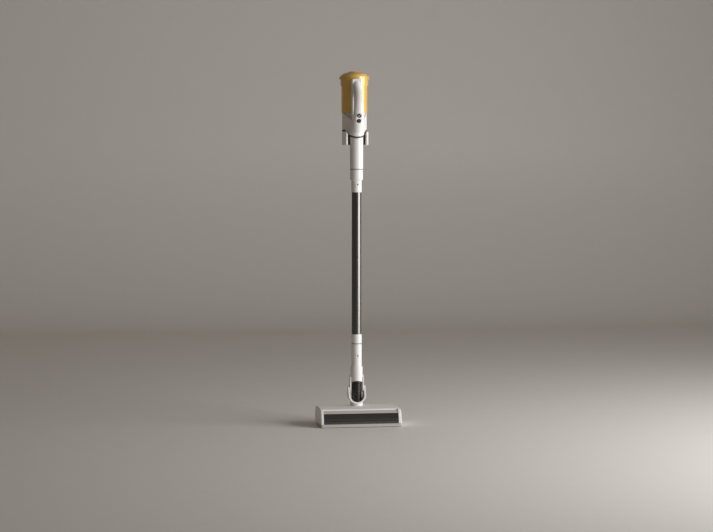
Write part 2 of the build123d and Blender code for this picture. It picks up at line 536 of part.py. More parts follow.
def build_neck():
    """Socket above the fold, yoke below it and the hose between."""
    top = SOCKET_TOP_Z
    latch_z = top - LATCH_FROM_JOINT
    wide_top = SOCKET_FOOT_Z + SOCKET_WIDE_LENGTH
    socket = drum(COLLAR_R, wide_top - 1, top) + drum(SOCKET_WIDE_R, SOCKET_FOOT_Z - 18, wide_top)
    socket -= drum(WAND_SPIGOT_R + GAP, top - WAND_SPIGOT_LENGTH - 2, top + 1) + drum(AIRWAY_R, 0, top)
    socket -= drum(HOSE_R + GAP, 0, SOCKET_FOOT_Z + 14)
    socket -= Pos(0, 0, SOCKET_FOOT_Z - ARCH_R) * Rot(90, 0, 0) * Cylinder(ARCH_R, 60)
    socket -= lug(LATCH_R + GAP, -COLLAR_R - 1, -COLLAR_R + 2.9, 0, latch_z)
    ear_x = (HOSE_R + 1.2, HOSE_R + 1.2 + EAR_THICKNESS)
    for side in (-1, 1):
        x = (ear_x[0], ear_x[1]) if side > 0 else (-ear_x[1], -ear_x[0])
        ear = axle(EAR_R, *x, 0, PIVOT_Z) + block(x, (-EAR_R, EAR_R), (PIVOT_Z, SOCKET_FOOT_Z + 6))
        ear += Pos((x[0] + x[1]) / 2, 0, SOCKET_FOOT_Z + 6) * Rot(0, 90, 0) * Cylinder(EAR_R, EAR_THICKNESS)
        socket += ear
    socket -= drum(HOSE_R + GAP, 0, SOCKET_FOOT_Z + 14) + axle(PIN_R, -40, 40, 0, PIVOT_Z)
    nodes["head_socket"] = socket
    pins = Part()
    for side in (-1, 1):
        pins += axle(PIN_R, *sorted((side * (HOSE_R + 1.2), side * YOKE_R)), 0, PIVOT_Z)
    nodes["pivot_pins"] = pins

    ring = Pos(0, 0, YOKE_CENTRE_Z) * Rot(90, 0, 0) * Cylinder(YOKE_R, YOKE_DEPTH)
    yoke = ring & block((-50, 50), (-50, 50), (0, YOKE_CENTRE_Z))
    for side in (-1, 1):
        x = sorted((side * YOKE_BORE_R, side * YOKE_R))
        yoke += block(x, (-EAR_R, EAR_R), (YOKE_CENTRE_Z - 1, PIVOT_Z)) + axle(EAR_R, *x, 0, PIVOT_Z)
        ramp = [(-YOKE_DEPTH / 2, YOKE_CENTRE_Z - 0.5), (-YOKE_DEPTH / 2, YOKE_CENTRE_Z), (-EAR_R, PIVOT_Z - 3), (EAR_R, PIVOT_Z - 3),
                (YOKE_DEPTH / 2, YOKE_CENTRE_Z), (YOKE_DEPTH / 2, YOKE_CENTRE_Z - 0.5)]
        yoke += side_slab(ramp, YOKE_R) & block(x, (-50, 50), (0, 200))
    yoke += drum(HUB_R, HUB_FOOT_Z, YOKE_CENTRE_Z - 10)
    yoke -= Pos(0, 0, YOKE_CENTRE_Z) * Rot(90, 0, 0) * Cylinder(YOKE_BORE_R, 60)
    yoke -= block((-YOKE_BORE_R, YOKE_BORE_R), (-50, 50), (YOKE_CENTRE_Z, 200)) + drum(HUB_BORE_R, 0, 100)
    yoke -= axle(PIN_R + RUN_GAP, -40, 40, 0, PIVOT_Z)
    flange_top = BOSS_FOOT_Z - GAP
    nodes["yoke"] = yoke + pipe(HUB_R + 3, HUB_R - 1, flange_top - 3, flange_top)

    foot = PIVOT_Z - 35.0
    points = [(HOSE_BORE_R, foot)]
    for k in range(HOSE_RINGS):
        z = foot + k * HOSE_PITCH
        points += [(HOSE_VALLEY_R, z), (HOSE_VALLEY_R, z + 0.28 * HOSE_PITCH), (HOSE_R, z + 0.42 * HOSE_PITCH),
                   (HOSE_R, z + 0.86 * HOSE_PITCH)]
    top_z = foot + HOSE_RINGS * HOSE_PITCH
    points += [(HOSE_VALLEY_R, top_z), (HOSE_BORE_R, top_z)]
    face = make_face(Polyline(*[(r, 0, z) for r, z in points], (HOSE_BORE_R, 0, foot)))
    nodes["hose"] = revolve(face, Axis.Z)
    return latch_z


HEAD_OUTLINE = [(-88, 14), (-88, SOLE_Z), (28, SOLE_Z), (HEAD_REAR_Y, 9), (HEAD_REAR_Y, 30), (27, 42), (18, 48.6),
                (4, HEAD_TOP_Z), (-40, 50.2), (-58, 48.8), (LIP_Y, 47.4)]


def head_prism(outline, half):
    """Prism along X from the head's side outline."""
    return side_slab(outline, half)


def rolled(radius, half):
    """Cylinder along X on the roller's axis."""
    return axle(radius, -half, half, ROLLER_Y, ROLLER_Z)


def build_head():
    """Floor head: shells, window, roller with belt drive, wheels."""
    inner_half = HEAD_HALF - END_CAP
    outline = head_prism(HEAD_OUTLINE + [(-82, 36)], inner_half)
    inside = head_prism([(-86, 6.4), (27, 6.4), (29.6, 10), (29.6, 29), (25, 40.6), (17, 46.4), (4, 48.8), (-40, 48.0),
                          (-58, 46.6), (-80, 36)], BAY_X)
    cavity = inside - rolled(CHAMBER_R + HEAD_WALL, 200)
    bay = (rolled(CHAMBER_R, BAY_X) + block((-BAY_X, BAY_X), (ROLLER_Y, -3), (8, 37))) - block((-PLATE_X[1], PLATE_X[1]), (-200, 200), (0, 100))
    chamber = rolled(CHAMBER_R, PLATE_X[1])
    mouth = block((-PLATE_X[0], PLATE_X[0]), (ROLLER_Y - 19, ROLLER_Y + 18), (-1, ROLLER_Z))
    lower = block((-200, 200), (-200, 200), (0, SPLIT_Z)) - block((-200, 200), (-200, -70), (WINDOW_FOOT_Z - 0.2, 100))
    base = (outline & lower) - cavity - bay - chamber
    for side in (-1, 1):
        x = sorted((side * PLATE_X[0], side * PLATE_X[1]))
        disc = axle(CHAMBER_R, *x, ROLLER_Y, ROLLER_Z)
        base += disc & block((-200, 200), (-200, 200), (SOLE_Z, SPLIT_Z + 8))
    base -= mouth
    base -= block((-DUCT_HALF + 2, DUCT_HALF - 2), (ROLLER_Y, -34), (9, 25))
    base -= axle(4.0, -100, 100, ROLLER_Y, ROLLER_Z)
    for side in (-1, 1):
        base -= block((side * WHEEL_X - WHEEL_WIDTH / 2 - 0.8, side * WHEEL_X + WHEEL_WIDTH / 2 + 0.8), (WHEEL_Y - WHEEL_R - 0.6, WHEEL_Y + WHEEL_R + 0.6), (0, 12))
        base -= block((side * CASTOR_X - CASTOR_WIDTH / 2 - 0.6, side * CASTOR_X + CASTOR_WIDTH / 2 + 0.6), (CASTOR_Y - 5.0, CASTOR_Y + 5.0), (0, 8))
        for offset in (-1, 1):
            rib_x = side * WHEEL_X + offset * (WHEEL_WIDTH / 2 + 1.9)
            base += block((rib_x - 0.9, rib_x + 0.9), (WHEEL_Y - 5, WHEEL_Y + 5), (5, 14)) - axle(AXLE_R, rib_x - 2, rib_x + 2, WHEEL_Y, WHEEL_R)
            rib_x = side * CASTOR_X + offset * (CASTOR_WIDTH / 2 + 1.6)
            base += block((rib_x - 0.9, rib_x + 0.9), (CASTOR_Y - 3, CASTOR_Y + 3), (5, 9)) - axle(AXLE_R, rib_x - 2, rib_x + 2, CASTOR_Y, CASTOR_R)
            base -= axle(AXLE_R, rib_x - 3, rib_x + 3, CASTOR_Y, CASTOR_R)
    nodes["head_base"] = base

    upper = block((-200, 200), (LIP_Y, 200), (SPLIT_Z, 100))
    cover = (outline & upper) - cavity - bay - rolled(CHAMBER_R, 200)
    cover -= block((-PLATE_X[1] - 1, PLATE_X[1] + 1), (-200, ROLLER_Y + 4), (0, ROLLER_Z + 22.0)) & rolled(WINDOW_R + 0.05, 200)
    cover += drum(HUB_R + 4.5, BOSS_FOOT_Z, HEAD_TOP_Z - 1) & outline
    cover -= drum(HUB_R + GAP, 40, 100)
    nodes["head_cover"] = cover

    def arc_strip(z_low, z_high, outer, inner):
        """Part of the roller hood between two heights, in front of the roller."""
        strip = rolled(outer, inner_half) - rolled(inner, 300)
        return strip & block((-200, 200), (-200, ROLLER_Y), (z_low, z_high))

    lip_z = ROLLER_Z + sqrt(WINDOW_R ** 2 - (ROLLER_Y - LIP_Y) ** 2)
    nodes["head_window"] = arc_strip(WINDOW_FOOT_Z, TRIM_FOOT_Z - 0.1, WINDOW_R, CHAMBER_R + 0.6)
    trim = arc_strip(TRIM_FOOT_Z, 60, WINDOW_R, CHAMBER_R + 0.6) & block((-200, 200), (-200, LIP_Y - 0.05), (0, lip_z + 3))
    nodes["head_trim"] = trim

    cap_outline = HEAD_OUTLINE + [(-74, 44.0), (-82, 36), (-85.6, 26)]
    for name, side in (("end_cap_left", -1), ("end_cap_right", 1)):
        cap = head_prism(cap_outline, 400) & block(sorted((side * inner_half, side * HEAD_HALF)), (-200, 200), (0, 100))
        outer_edges = cap.faces().sort_by(Axis.X)[0 if side < 0 else -1].edges()
        try:
            cap = chamfer(outer_edges, 2.0)
        except Exception:
            pass
        nodes[name] = cap
    bumper = block((-HEAD_HALF, HEAD_HALF), (HEAD_FRONT_Y, -88), BUMPER_Z)
    nodes["bumper"] = fillet(bumper.edges().filter_by(Axis.Z).group_by(Axis.Y)[0], 3.0)

    core = axle(ROLLER_CORE_R, -ROLLER_HALF, ROLLER_HALF, ROLLER_Y, ROLLER_Z)
    core += axle(2.5, -BAY_X + 0.6, 97.0, ROLLER_Y, ROLLER_Z)
    strips = Part()
    length = 2 * ROLLER_HALF - 2
    for k in range(BRISTLE_ROWS):
        base_plane = Plane(origin=(-length / 2, ROLLER_Y, ROLLER_Z), x_dir=(0, 1, 0), z_dir=(1, 0, 0))
        section = base_plane * Rot(0, 0, 360 / BRISTLE_ROWS * k) * Pos((ROLLER_CORE_R - 0.4 + BRISTLE_R) / 2, 0) * Rectangle(
            BRISTLE_R - ROLLER_CORE_R + 0.4, BRISTLE_THICKNESS)
        strips += Solid.extrude_linear_with_rotation(section.face(), center=(-length / 2, ROLLER_Y, ROLLER_Z), normal=(length, 0, 0),
                                                     angle=BRISTLE_TWIST)
    nodes["bristle_strips"] = strips - core
    belt_x = (BELT_X - BELT_WIDTH / 2, BELT_X + BELT_WIDTH / 2)
    nodes["roller_core"] = core + axle(ROLLER_PULLEY_R, *belt_x, ROLLER_Y, ROLLER_Z)
    bearings = Part()
    for side in (-1, 1):
        x = sorted((side * PLATE_X[0], side * PLATE_X[1]))
        bearings += axle(4.0, *x, ROLLER_Y, ROLLER_Z) - axle(2.5 + RUN_GAP, -200, 200, ROLLER_Y, ROLLER_Z)
    nodes["roller_bearings"] = bearings

    def belt_hull(extra):
        """Closed belt outline around both pulleys."""
        circles = [Pos(ROLLER_Y, ROLLER_Z) * Circle(ROLLER_PULLEY_R + extra), Pos(BRUSH_MOTOR_Y, BRUSH_MOTOR_Z) * Circle(MOTOR_PULLEY_R + extra)]
        face = make_hull(circles[0].edges() + circles[1].edges())
        return Plane(origin=(belt_x[0], 0, 0), x_dir=(0, 1, 0), z_dir=(1, 0, 0)) * extrude(face, BELT_WIDTH)

    nodes["drive_belt"] = belt_hull(GAP + BELT_THICKNESS) - belt_hull(GAP)
    x0, x1 = BRUSH_MOTOR_X
    can = axle(BRUSH_MOTOR_R, x0, x1, BRUSH_MOTOR_Y, BRUSH_MOTOR_Z) - axle(BRUSH_MOTOR_R - 1.2, x0 + 1.5, x1 - 1.5, BRUSH_MOTOR_Y, BRUSH_MOTOR_Z)
    nodes["brush_motor"] = can - axle(AXLE_R + RUN_GAP, x0 - 5, x1 - 0.5 + 1, BRUSH_MOTOR_Y, BRUSH_MOTOR_Z)
    rotor = axle(BRUSH_MOTOR_R - 5.0, x0 + 6, x1 - 6, BRUSH_MOTOR_Y, BRUSH_MOTOR_Z) + axle(AXLE_R, belt_x[0], x1 - 0.6, BRUSH_MOTOR_Y, BRUSH_MOTOR_Z)
    nodes["brush_rotor"] = rotor + axle(MOTOR_PULLEY_R, *belt_x, BRUSH_MOTOR_Y, BRUSH_MOTOR_Z)
    for x in (x0 + 8, x1 - 8):
        rib = block((x - 2, x + 2), (BRUSH_MOTOR_Y - 10, BRUSH_MOTOR_Y + 10), (6, BRUSH_MOTOR_Z - 3))
        nodes["head_base"] += rib - axle(BRUSH_MOTOR_R, x0 - 5, x1 + 5, BRUSH_MOTOR_Y, BRUSH_MOTOR_Z)

    duct = block((-DUCT_HALF, DUCT_HALF), (-38.6, 17), (7, 31)) - block((-DUCT_HALF + 1.6, DUCT_HALF - 1.6), (-60, 15.4), (8.6, 29.4))
    duct -= rolled(CHAMBER_R + HEAD_WALL + 0.1, 200)
    duct -= drum(HUB_BORE_R - 0.6, 20, 40)
    nodes["air_duct"] = duct + pipe(HUB_BORE_R - GAP, HUB_BORE_R - 1.8, 29.5, 36)
    axles = Part()
    for name, side in (("left", -1), ("right", 1)):
        x = side * WHEEL_X
        wheel = axle(WHEEL_R, x - WHEEL_WIDTH / 2, x + WHEEL_WIDTH / 2, WHEEL_Y, WHEEL_R)
        wheel = fillet(wheel.edges().filter_by(GeomType.CIRCLE), 1.2)
        nodes["wheel_" + name] = wheel - axle(AXLE_R + RUN_GAP, x - 20, x + 20, WHEEL_Y, WHEEL_R)
        axles += axle(AXLE_R, x - WHEEL_WIDTH / 2 - 2.8, x + WHEEL_WIDTH / 2 + 2.8, WHEEL_Y, WHEEL_R)
        x = side * CASTOR_X
        castor = axle(CASTOR_R, x - CASTOR_WIDTH / 2, x + CASTOR_WIDTH / 2, CASTOR_Y, CASTOR_R)
        nodes["castor_" + name] = castor - axle(AXLE_R + RUN_GAP, x - 20, x + 20, CASTOR_Y, CASTOR_R)
        axles += axle(AXLE_R, x - CASTOR_WIDTH / 2 - 2.4, x + CASTOR_WIDTH / 2 + 2.4, CASTOR_Y, CASTOR_R)
    nodes["head_axles"] = axles


def main():
    """Build every piece and write one file for each."""
    build_handle()
    build_cup()
    build_battery()
    button("wand_button", COLLAR_R, build_wand())
    button("head_button", COLLAR_R, build_neck())
    build_head()
    os.makedirs("parts", exist_ok=True)
    for name, shape in nodes.items():
        placed = Pos(0, FRAME_SHIFT_Y, 0) * shape
        box = placed.bounding_box()
        print(f"{name:20s} solids {len(placed.solids())} vol {placed.volume:9.0f} "
              f"x {box.min.X:7.1f} {box.max.X:7.1f} y {box.min.Y:7.1f} {box.max.Y:7.1f} z {box.min.Z:6.1f} {box.max.Z:6.1f}")
        export_step(placed, f"parts/{name}.step")
    print(len(nodes), "nodes")


if __name__ == "__main__":
    main()
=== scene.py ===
"""Cordless stick vacuum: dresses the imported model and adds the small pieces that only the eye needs."""
import logging
import math
from dataclasses import dataclass
from enum import Enum

import bpy
import bmesh
from mathutils import Matrix, Vector


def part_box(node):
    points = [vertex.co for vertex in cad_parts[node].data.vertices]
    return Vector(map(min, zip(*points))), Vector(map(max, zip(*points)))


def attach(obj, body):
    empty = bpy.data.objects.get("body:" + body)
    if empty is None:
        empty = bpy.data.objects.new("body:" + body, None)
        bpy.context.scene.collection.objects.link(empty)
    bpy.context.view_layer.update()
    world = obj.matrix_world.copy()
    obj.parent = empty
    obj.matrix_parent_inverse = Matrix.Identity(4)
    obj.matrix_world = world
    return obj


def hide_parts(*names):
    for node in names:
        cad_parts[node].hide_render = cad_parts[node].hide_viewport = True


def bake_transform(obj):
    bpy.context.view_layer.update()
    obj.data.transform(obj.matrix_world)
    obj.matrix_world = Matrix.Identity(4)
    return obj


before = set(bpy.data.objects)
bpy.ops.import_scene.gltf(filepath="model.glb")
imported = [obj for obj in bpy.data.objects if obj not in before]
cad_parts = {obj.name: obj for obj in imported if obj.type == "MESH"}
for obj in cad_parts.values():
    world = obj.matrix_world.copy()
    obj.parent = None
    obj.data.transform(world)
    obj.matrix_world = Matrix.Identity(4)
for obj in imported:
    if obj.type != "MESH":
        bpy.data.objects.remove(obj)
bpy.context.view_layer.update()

log = logging.getLogger("stick_vacuum")
Colour = tuple[float, float, float]
Pair = tuple[float, float]
MM = 0.001


class Surface(Enum):
    """What a finish is made of, which sets how its shader is laid out."""

    MOULDED = "moulded plastic"
    LACQUER = "lacquered tube"
    CLEAR = "see-through plastic"
    METAL = "bare metal"
    CLOTH = "pile, paper or foam"


@dataclass(frozen=True)
class Finish:
    """One finish of the cleaner."""

    name: str
    surface: Surface
    colour: Colour
    shade: Colour
    rough: float = 0.4
    rough_spread: float = 0.06
    grain: float = 900.0
    grain_height: float = 0.02
    coat: float = 0.0
    metal: float = 0.0
    through: float = 0.0
    ior: float = 1.5
    dust: float = 0.05
    worn: float = 0.0
    weave: float = 0.0


WHITE = Finish(
    "satin_white_plastic", Surface.MOULDED, (0.82, 0.81, 0.795), (0.785, 0.775, 0.755),
    rough=0.4, rough_spread=0.07, grain=1400, grain_height=0.012, coat=0.08,
)
WHITE_TRIM = Finish(
    "bright_white_trim", Surface.MOULDED, (0.87, 0.86, 0.84), (0.84, 0.825, 0.80),
    rough=0.28, rough_spread=0.05, grain=1400, grain_height=0.01, coat=0.3,
)
BLACK = Finish(
    "black_plastic", Surface.MOULDED, (0.012, 0.010, 0.009), (0.02, 0.018, 0.016),
    rough=0.42, rough_spread=0.08, grain=1600, grain_height=0.03, dust=0.02, worn=0.3,
)
KEY_BLACK = Finish(
    "gloss_black_key", Surface.MOULDED, (0.006, 0.005, 0.005), (0.012, 0.010, 0.010),
    rough=0.22, rough_spread=0.05, grain=1600, grain_height=0.01, coat=0.5, dust=0.01,
)
GREY = Finish(
    "light_grey_plastic", Surface.MOULDED, (0.42, 0.41, 0.39), (0.36, 0.35, 0.33),
    rough=0.45, rough_spread=0.08, grain=1200, grain_height=0.03, dust=0.08,
)
PALE_GREY = Finish(
    "pale_grey_plastic", Surface.MOULDED, (0.50, 0.485, 0.46), (0.45, 0.435, 0.41),
    rough=0.38, rough_spread=0.08, grain=1200, grain_height=0.02, dust=0.06,
)
MARK_DARK = Finish(
    "dark_mark", Surface.MOULDED, (0.05, 0.05, 0.05), (0.07, 0.065, 0.06),
    rough=0.5, rough_spread=0.05, grain=1500, grain_height=0.02, dust=0.0,
)
MARK_WHITE = Finish(
    "white_mark", Surface.MOULDED, (0.80, 0.79, 0.77), (0.72, 0.71, 0.69),
    rough=0.4, rough_spread=0.05, grain=1500, grain_height=0.02, dust=0.0,
)
MARK_GREY = Finish(
    "grey_mark", Surface.MOULDED, (0.10, 0.10, 0.10), (0.14, 0.135, 0.13),
    rough=0.4, rough_spread=0.05, grain=1500, grain_height=0.02, dust=0.0,
)
WAND = Finish(
    "gloss_black_tube", Surface.LACQUER, (0.168, 0.160, 0.156), (0.155, 0.147, 0.143),
    rough=0.29, rough_spread=0.012, grain=700, grain_height=0.0, metal=1.0, dust=0.0,
)
AMBER = Finish(
    "amber_cup", Surface.CLEAR, (0.88, 0.56, 0.13), (0.84, 0.52, 0.10),
    rough=0.3, rough_spread=0.06, grain=500, grain_height=0.01, coat=0.8, through=0.15, ior=1.5, dust=0.03,
)
AMBER_LID = Finish(
    "amber_lid", Surface.CLEAR, (0.88, 0.60, 0.17), (0.84, 0.55, 0.14),
    rough=0.3, rough_spread=0.06, grain=500, grain_height=0.01, coat=0.8, through=0.1, ior=1.5, dust=0.05,
)
SMOKE = Finish(
    "smoked_window", Surface.CLEAR, (0.09, 0.08, 0.075), (0.07, 0.062, 0.06),
    rough=0.12, rough_spread=0.04, grain=400, grain_height=0.003, coat=0.5, through=0.6, ior=1.5, dust=0.03,
)
RUBBER = Finish(
    "soft_rubber", Surface.MOULDED, (0.014, 0.012, 0.012), (0.024, 0.021, 0.020),
    rough=0.48, rough_spread=0.1, grain=1100, grain_height=0.05, dust=0.03, worn=0.3,
)
HOSE = Finish(
    "hose_rubber", Surface.MOULDED, (0.010, 0.008, 0.008), (0.018, 0.015, 0.014),
    rough=0.31, rough_spread=0.08, grain=900, grain_height=0.03, dust=0.03, worn=0.2,
)
STEEL = Finish(
    "drawn_steel", Surface.METAL, (0.56, 0.56, 0.55), (0.44, 0.44, 0.43),
    rough=0.32, rough_spread=0.1, grain=500, grain_height=0.02, metal=1.0,
)
BRASS = Finish(
    "contact_brass", Surface.METAL, (0.72, 0.52, 0.22), (0.60, 0.42, 0.16),
    rough=0.3, rough_spread=0.1, grain=500, grain_height=0.02, metal=1.0,
)
MESH = Finish(
    "etched_mesh", Surface.METAL, (0.42, 0.40, 0.36), (0.20, 0.19, 0.17),
    rough=0.38, rough_spread=0.1, grain=900, grain_height=0.05, metal=1.0, weave=0.9,
)
PAPER = Finish(
    "filter_paper", Surface.CLOTH, (0.80, 0.78, 0.70), (0.68, 0.65, 0.56),
    rough=0.85, rough_spread=0.08, grain=1600, grain_height=0.15, weave=0.25,
)
FOAM = Finish(
    "open_foam", Surface.CLOTH, (0.05, 0.05, 0.05), (0.12, 0.12, 0.12),
    rough=0.95, rough_spread=0.04, grain=800, grain_height=0.5,
)
PILE = Finish(
    "nylon_pile", Surface.CLOTH, (0.06, 0.055, 0.055), (0.14, 0.13, 0.13),
    rough=0.7, rough_spread=0.1, grain=1300, grain_height=0.5, weave=0.5,
)
FELT = Finish(
    "grey_felt", Surface.CLOTH, (0.10, 0.10, 0.10), (0.18, 0.17, 0.17),
    rough=0.95, rough_spread=0.04, grain=1500, grain_height=0.5,
)
BOARD = Finish(
    "green_board", Surface.MOULDED, (0.02, 0.10, 0.045), (0.03, 0.14, 0.06),
    rough=0.4, rough_spread=0.08, grain=900, grain_height=0.02,
)
CELL = Finish(
    "cell_wrap", Surface.MOULDED, (0.03, 0.12, 0.28), (0.04, 0.15, 0.33),
    rough=0.3, rough_spread=0.06, grain=900, grain_height=0.01,
)
FLOOR = Finish(
    "pale_floor", Surface.MOULDED, (0.78, 0.765, 0.74), (0.755, 0.74, 0.715),
    rough=0.5, rough_spread=0.06, grain=60, grain_height=0.002, dust=0.0,
)


class NodeTools:
    """Builds the shared effects once and the materials from them."""

    def __init__(self) -> None:
        """Makes the shared groups."""
        self.made: dict[str, bpy.types.Material] = {}
        self.grain = self._grain()
        self.handling = self._handling()
        self.drift = self._drift()
        self.dust = self._dust()
        self.rub = self._rub()
        self.weave = self._weave()

    @staticmethod
    def _group(name: str, inputs: dict[str, tuple[str, object]], outputs: dict[str, str]) -> bpy.types.NodeTree:
        """Makes an empty group with its sockets.

        Args:
            name: the group's name.
            inputs: socket name to (socket type, default or None).
            outputs: socket name to socket type.

        Returns:
            The new group, with its two ends named "in" and "out".
        """
        tree = bpy.data.node_groups.new(name, "ShaderNodeTree")
        for label, (kind, default) in inputs.items():
            socket = tree.interface.new_socket(name=label, in_out="INPUT", socket_type=kind)
            if default is not None:
                socket.default_value = default
        for label, kind in outputs.items():
            tree.interface.new_socket(name=label, in_out="OUTPUT", socket_type=kind)
        tree.nodes.new("NodeGroupInput").name = "in"
        tree.nodes.new("NodeGroupOutput").name = "out"
        return tree

    @staticmethod
    def _noise(tree: bpy.types.NodeTree, scale: float, detail: float) -> bpy.types.Node:
        """Adds a noise texture fed by the group's Vector."""
        noise = tree.nodes.new("ShaderNodeTexNoise")
        noise.inputs["Scale"].default_value = scale
        noise.inputs["Detail"].default_value = detail
        tree.links.new(tree.nodes["in"].outputs["Vector"], noise.inputs["Vector"])
        return noise

    @staticmethod
    def _math(tree: bpy.types.NodeTree, operation: str, a: object, b: object,
              clamp: bool = False) -> bpy.types.NodeSocket:
        """Adds a math node.

        Args:
            tree: where it goes.
            operation: Blender's name of the operation.
            a: first number or socket.
            b: second number or socket.
            clamp: whether the result stays between 0 and 1.

        Returns:
            The node's result socket.
        """
        node = tree.nodes.new("ShaderNodeMath")
        node.operation = operation
        node.use_clamp = clamp
        for socket, value in zip(node.inputs, (a, b)):
            if isinstance(value, (int, float)):
                socket.default_value = value
            else:
                tree.links.new(value, socket)
        return node.outputs[0]

    @staticmethod
    def _mix(tree: bpy.types.NodeTree, factor: object, a: object, b: object) -> bpy.types.NodeSocket:
        """Adds a colour mix and returns its result socket."""
        node = tree.nodes.new("ShaderNodeMix")
        node.data_type = "RGBA"
        for socket, value in ((node.inputs[0], factor), (node.inputs[6], a), (node.inputs[7], b)):
            if isinstance(value, bpy.types.NodeSocket):
                tree.links.new(value, socket)
            elif isinstance(value, (int, float)):
                socket.default_value = value
            else:
                socket.default_value = (*value, 1.0)
        return node.outputs[2]

    def _grain(self) -> bpy.types.NodeTree:
        """Spark-eroded mould grain: fine noise over a coarser one."""
        tree = self._group("mould_grain", {"Vector": ("NodeSocketVector", None), "Scale": ("NodeSocketFloat", 900.0)},
                           {"Height": "NodeSocketFloat"})
        fine, coarse = self._noise(tree, 900.0, 3.0), self._noise(tree, 90.0, 2.0)
        tree.links.new(tree.nodes["in"].outputs["Scale"], fine.inputs["Scale"])
        soft = self._math(tree, "MULTIPLY", coarse.outputs[0], 0.6)
        tree.links.new(self._math(tree, "ADD", fine.outputs[0], soft), tree.nodes["out"].inputs["Height"])
        return tree

    def _handling(self) -> bpy.types.NodeTree:
        """Roughness that hands and cloths have made uneven."""
        tree = self._group("handling_wear", {"Vector": ("NodeSocketVector", None), "Base": ("NodeSocketFloat", 0.4),
                                             "Spread": ("NodeSocketFloat", 0.05)}, {"Roughness": "NodeSocketFloat"})
        noise = self._noise(tree, 42.0, 4.0)
        ends = tree.nodes["in"].outputs
        centred = self._math(tree, "SUBTRACT", noise.outputs[0], 0.5)
        swing = self._math(tree, "MULTIPLY", centred, ends["Spread"])
        doubled = self._math(tree, "MULTIPLY", swing, 2.4)
        tree.links.new(self._math(tree, "ADD", ends["Base"], doubled, True), tree.nodes["out"].inputs["Roughness"])
        return tree

    def _drift(self) -> bpy.types.NodeTree:
        """Slow drift between two close tones."""
        tree = self._group("tone_drift", {"Vector": ("NodeSocketVector", None), "Colour": ("NodeSocketColor", None),
                                          "Shade": ("NodeSocketColor", None)}, {"Colour": "NodeSocketColor"})
        noise = self._noise(tree, 16.0, 5.0)
        ends = tree.nodes["in"].outputs
        blended = self._mix(tree, noise.outputs[0], ends["Colour"], ends["Shade"])
        tree.links.new(blended, tree.nodes["out"].inputs["Colour"])
        return tree

    def _dust(self) -> bpy.types.NodeTree:
        """Thin dust that settles on what faces up."""
        tree = self._group("settled_dust", {"Vector": ("NodeSocketVector", None), "Colour": ("NodeSocketColor", None),
                                            "Up": ("NodeSocketFloat", 0.0), "Amount": ("NodeSocketFloat", 0.1)},
                           {"Colour": "NodeSocketColor"})
        noise = self._noise(tree, 120.0, 6.0)
        ends = tree.nodes["in"].outputs
        level = self._math(tree, "SUBTRACT", ends["Up"], 0.55, True)
        speckled = self._math(tree, "MULTIPLY", level, noise.outputs[0])
        amount = self._math(tree, "MULTIPLY", speckled, ends["Amount"])
        cover = self._math(tree, "MULTIPLY", amount, 4.0, True)
        tree.links.new(self._mix(tree, cover, ends["Colour"], (0.55, 0.53, 0.50)), tree.nodes["out"].inputs["Colour"])
        return tree

    def _rub(self) -> bpy.types.NodeTree:
        """Edges rubbed lighter by use."""
        tree = self._group("rubbed_edges", {"Vector": ("NodeSocketVector", None), "Colour": ("NodeSocketColor", None),
                                            "Edge": ("NodeSocketFloat", 0.5), "Amount": ("NodeSocketFloat", 0.2)},
                           {"Colour": "NodeSocketColor"})
        noise = self._noise(tree, 240.0, 4.0)
        ends = tree.nodes["in"].outputs
        sharp = self._math(tree, "MULTIPLY", self._math(tree, "SUBTRACT", ends["Edge"], 0.53, True), 9.0, True)
        patchy = self._math(tree, "MULTIPLY", sharp, noise.outputs[0])
        factor = self._math(tree, "MULTIPLY", patchy, ends["Amount"], True)
        tree.links.new(self._mix(tree, factor, ends["Colour"], (0.35, 0.34, 0.33)), tree.nodes["out"].inputs["Colour"])
        return tree

    def _weave(self) -> bpy.types.NodeTree:
        """Crossed threads as a mask."""
        tree = self._group("crossed_threads", {"Vector": ("NodeSocketVector", None)}, {"Mask": "NodeSocketFloat"})
        waves = []
        for direction in ("X", "Z"):
            wave = tree.nodes.new("ShaderNodeTexWave")
            wave.bands_direction = direction
            wave.inputs["Scale"].default_value = 420.0
            tree.links.new(tree.nodes["in"].outputs["Vector"], wave.inputs["Vector"])
            waves.append(wave.outputs["Fac"])
        tree.links.new(self._math(tree, "MULTIPLY", *waves), tree.nodes["out"].inputs["Mask"])
        return tree

    def material(self, finish: Finish) -> bpy.types.Material:
        """Builds a finish's material the first time it is asked for.

        Args:
            finish: what the surface is like.

        Returns:
            The material.
        """
        if finish.name in self.made:
            return self.made[finish.name]
        material = bpy.data.materials.new(finish.name)
        material.use_nodes = True
        tree = material.node_tree
        shader = tree.nodes["Principled BSDF"]
        place = tree.nodes.new("ShaderNodeTexCoord").outputs["Object"]
        geometry = tree.nodes.new("ShaderNodeNewGeometry")
        up = tree.nodes.new("ShaderNodeSeparateXYZ")
        tree.links.new(geometry.outputs["Normal"], up.inputs[0])

        def placed(group: bpy.types.NodeTree, **values: object) -> bpy.types.Node:
            """Places a shared effect with its own values."""
            node = tree.nodes.new("ShaderNodeGroup")
            node.node_tree = group
            tree.links.new(place, node.inputs["Vector"])
            for label, value in values.items():
                if isinstance(value, bpy.types.NodeSocket):
                    tree.links.new(value, node.inputs[label])
                elif isinstance(value, tuple):
                    node.inputs[label].default_value = (*value, 1.0)
                else:
                    node.inputs[label].default_value = value
            return node

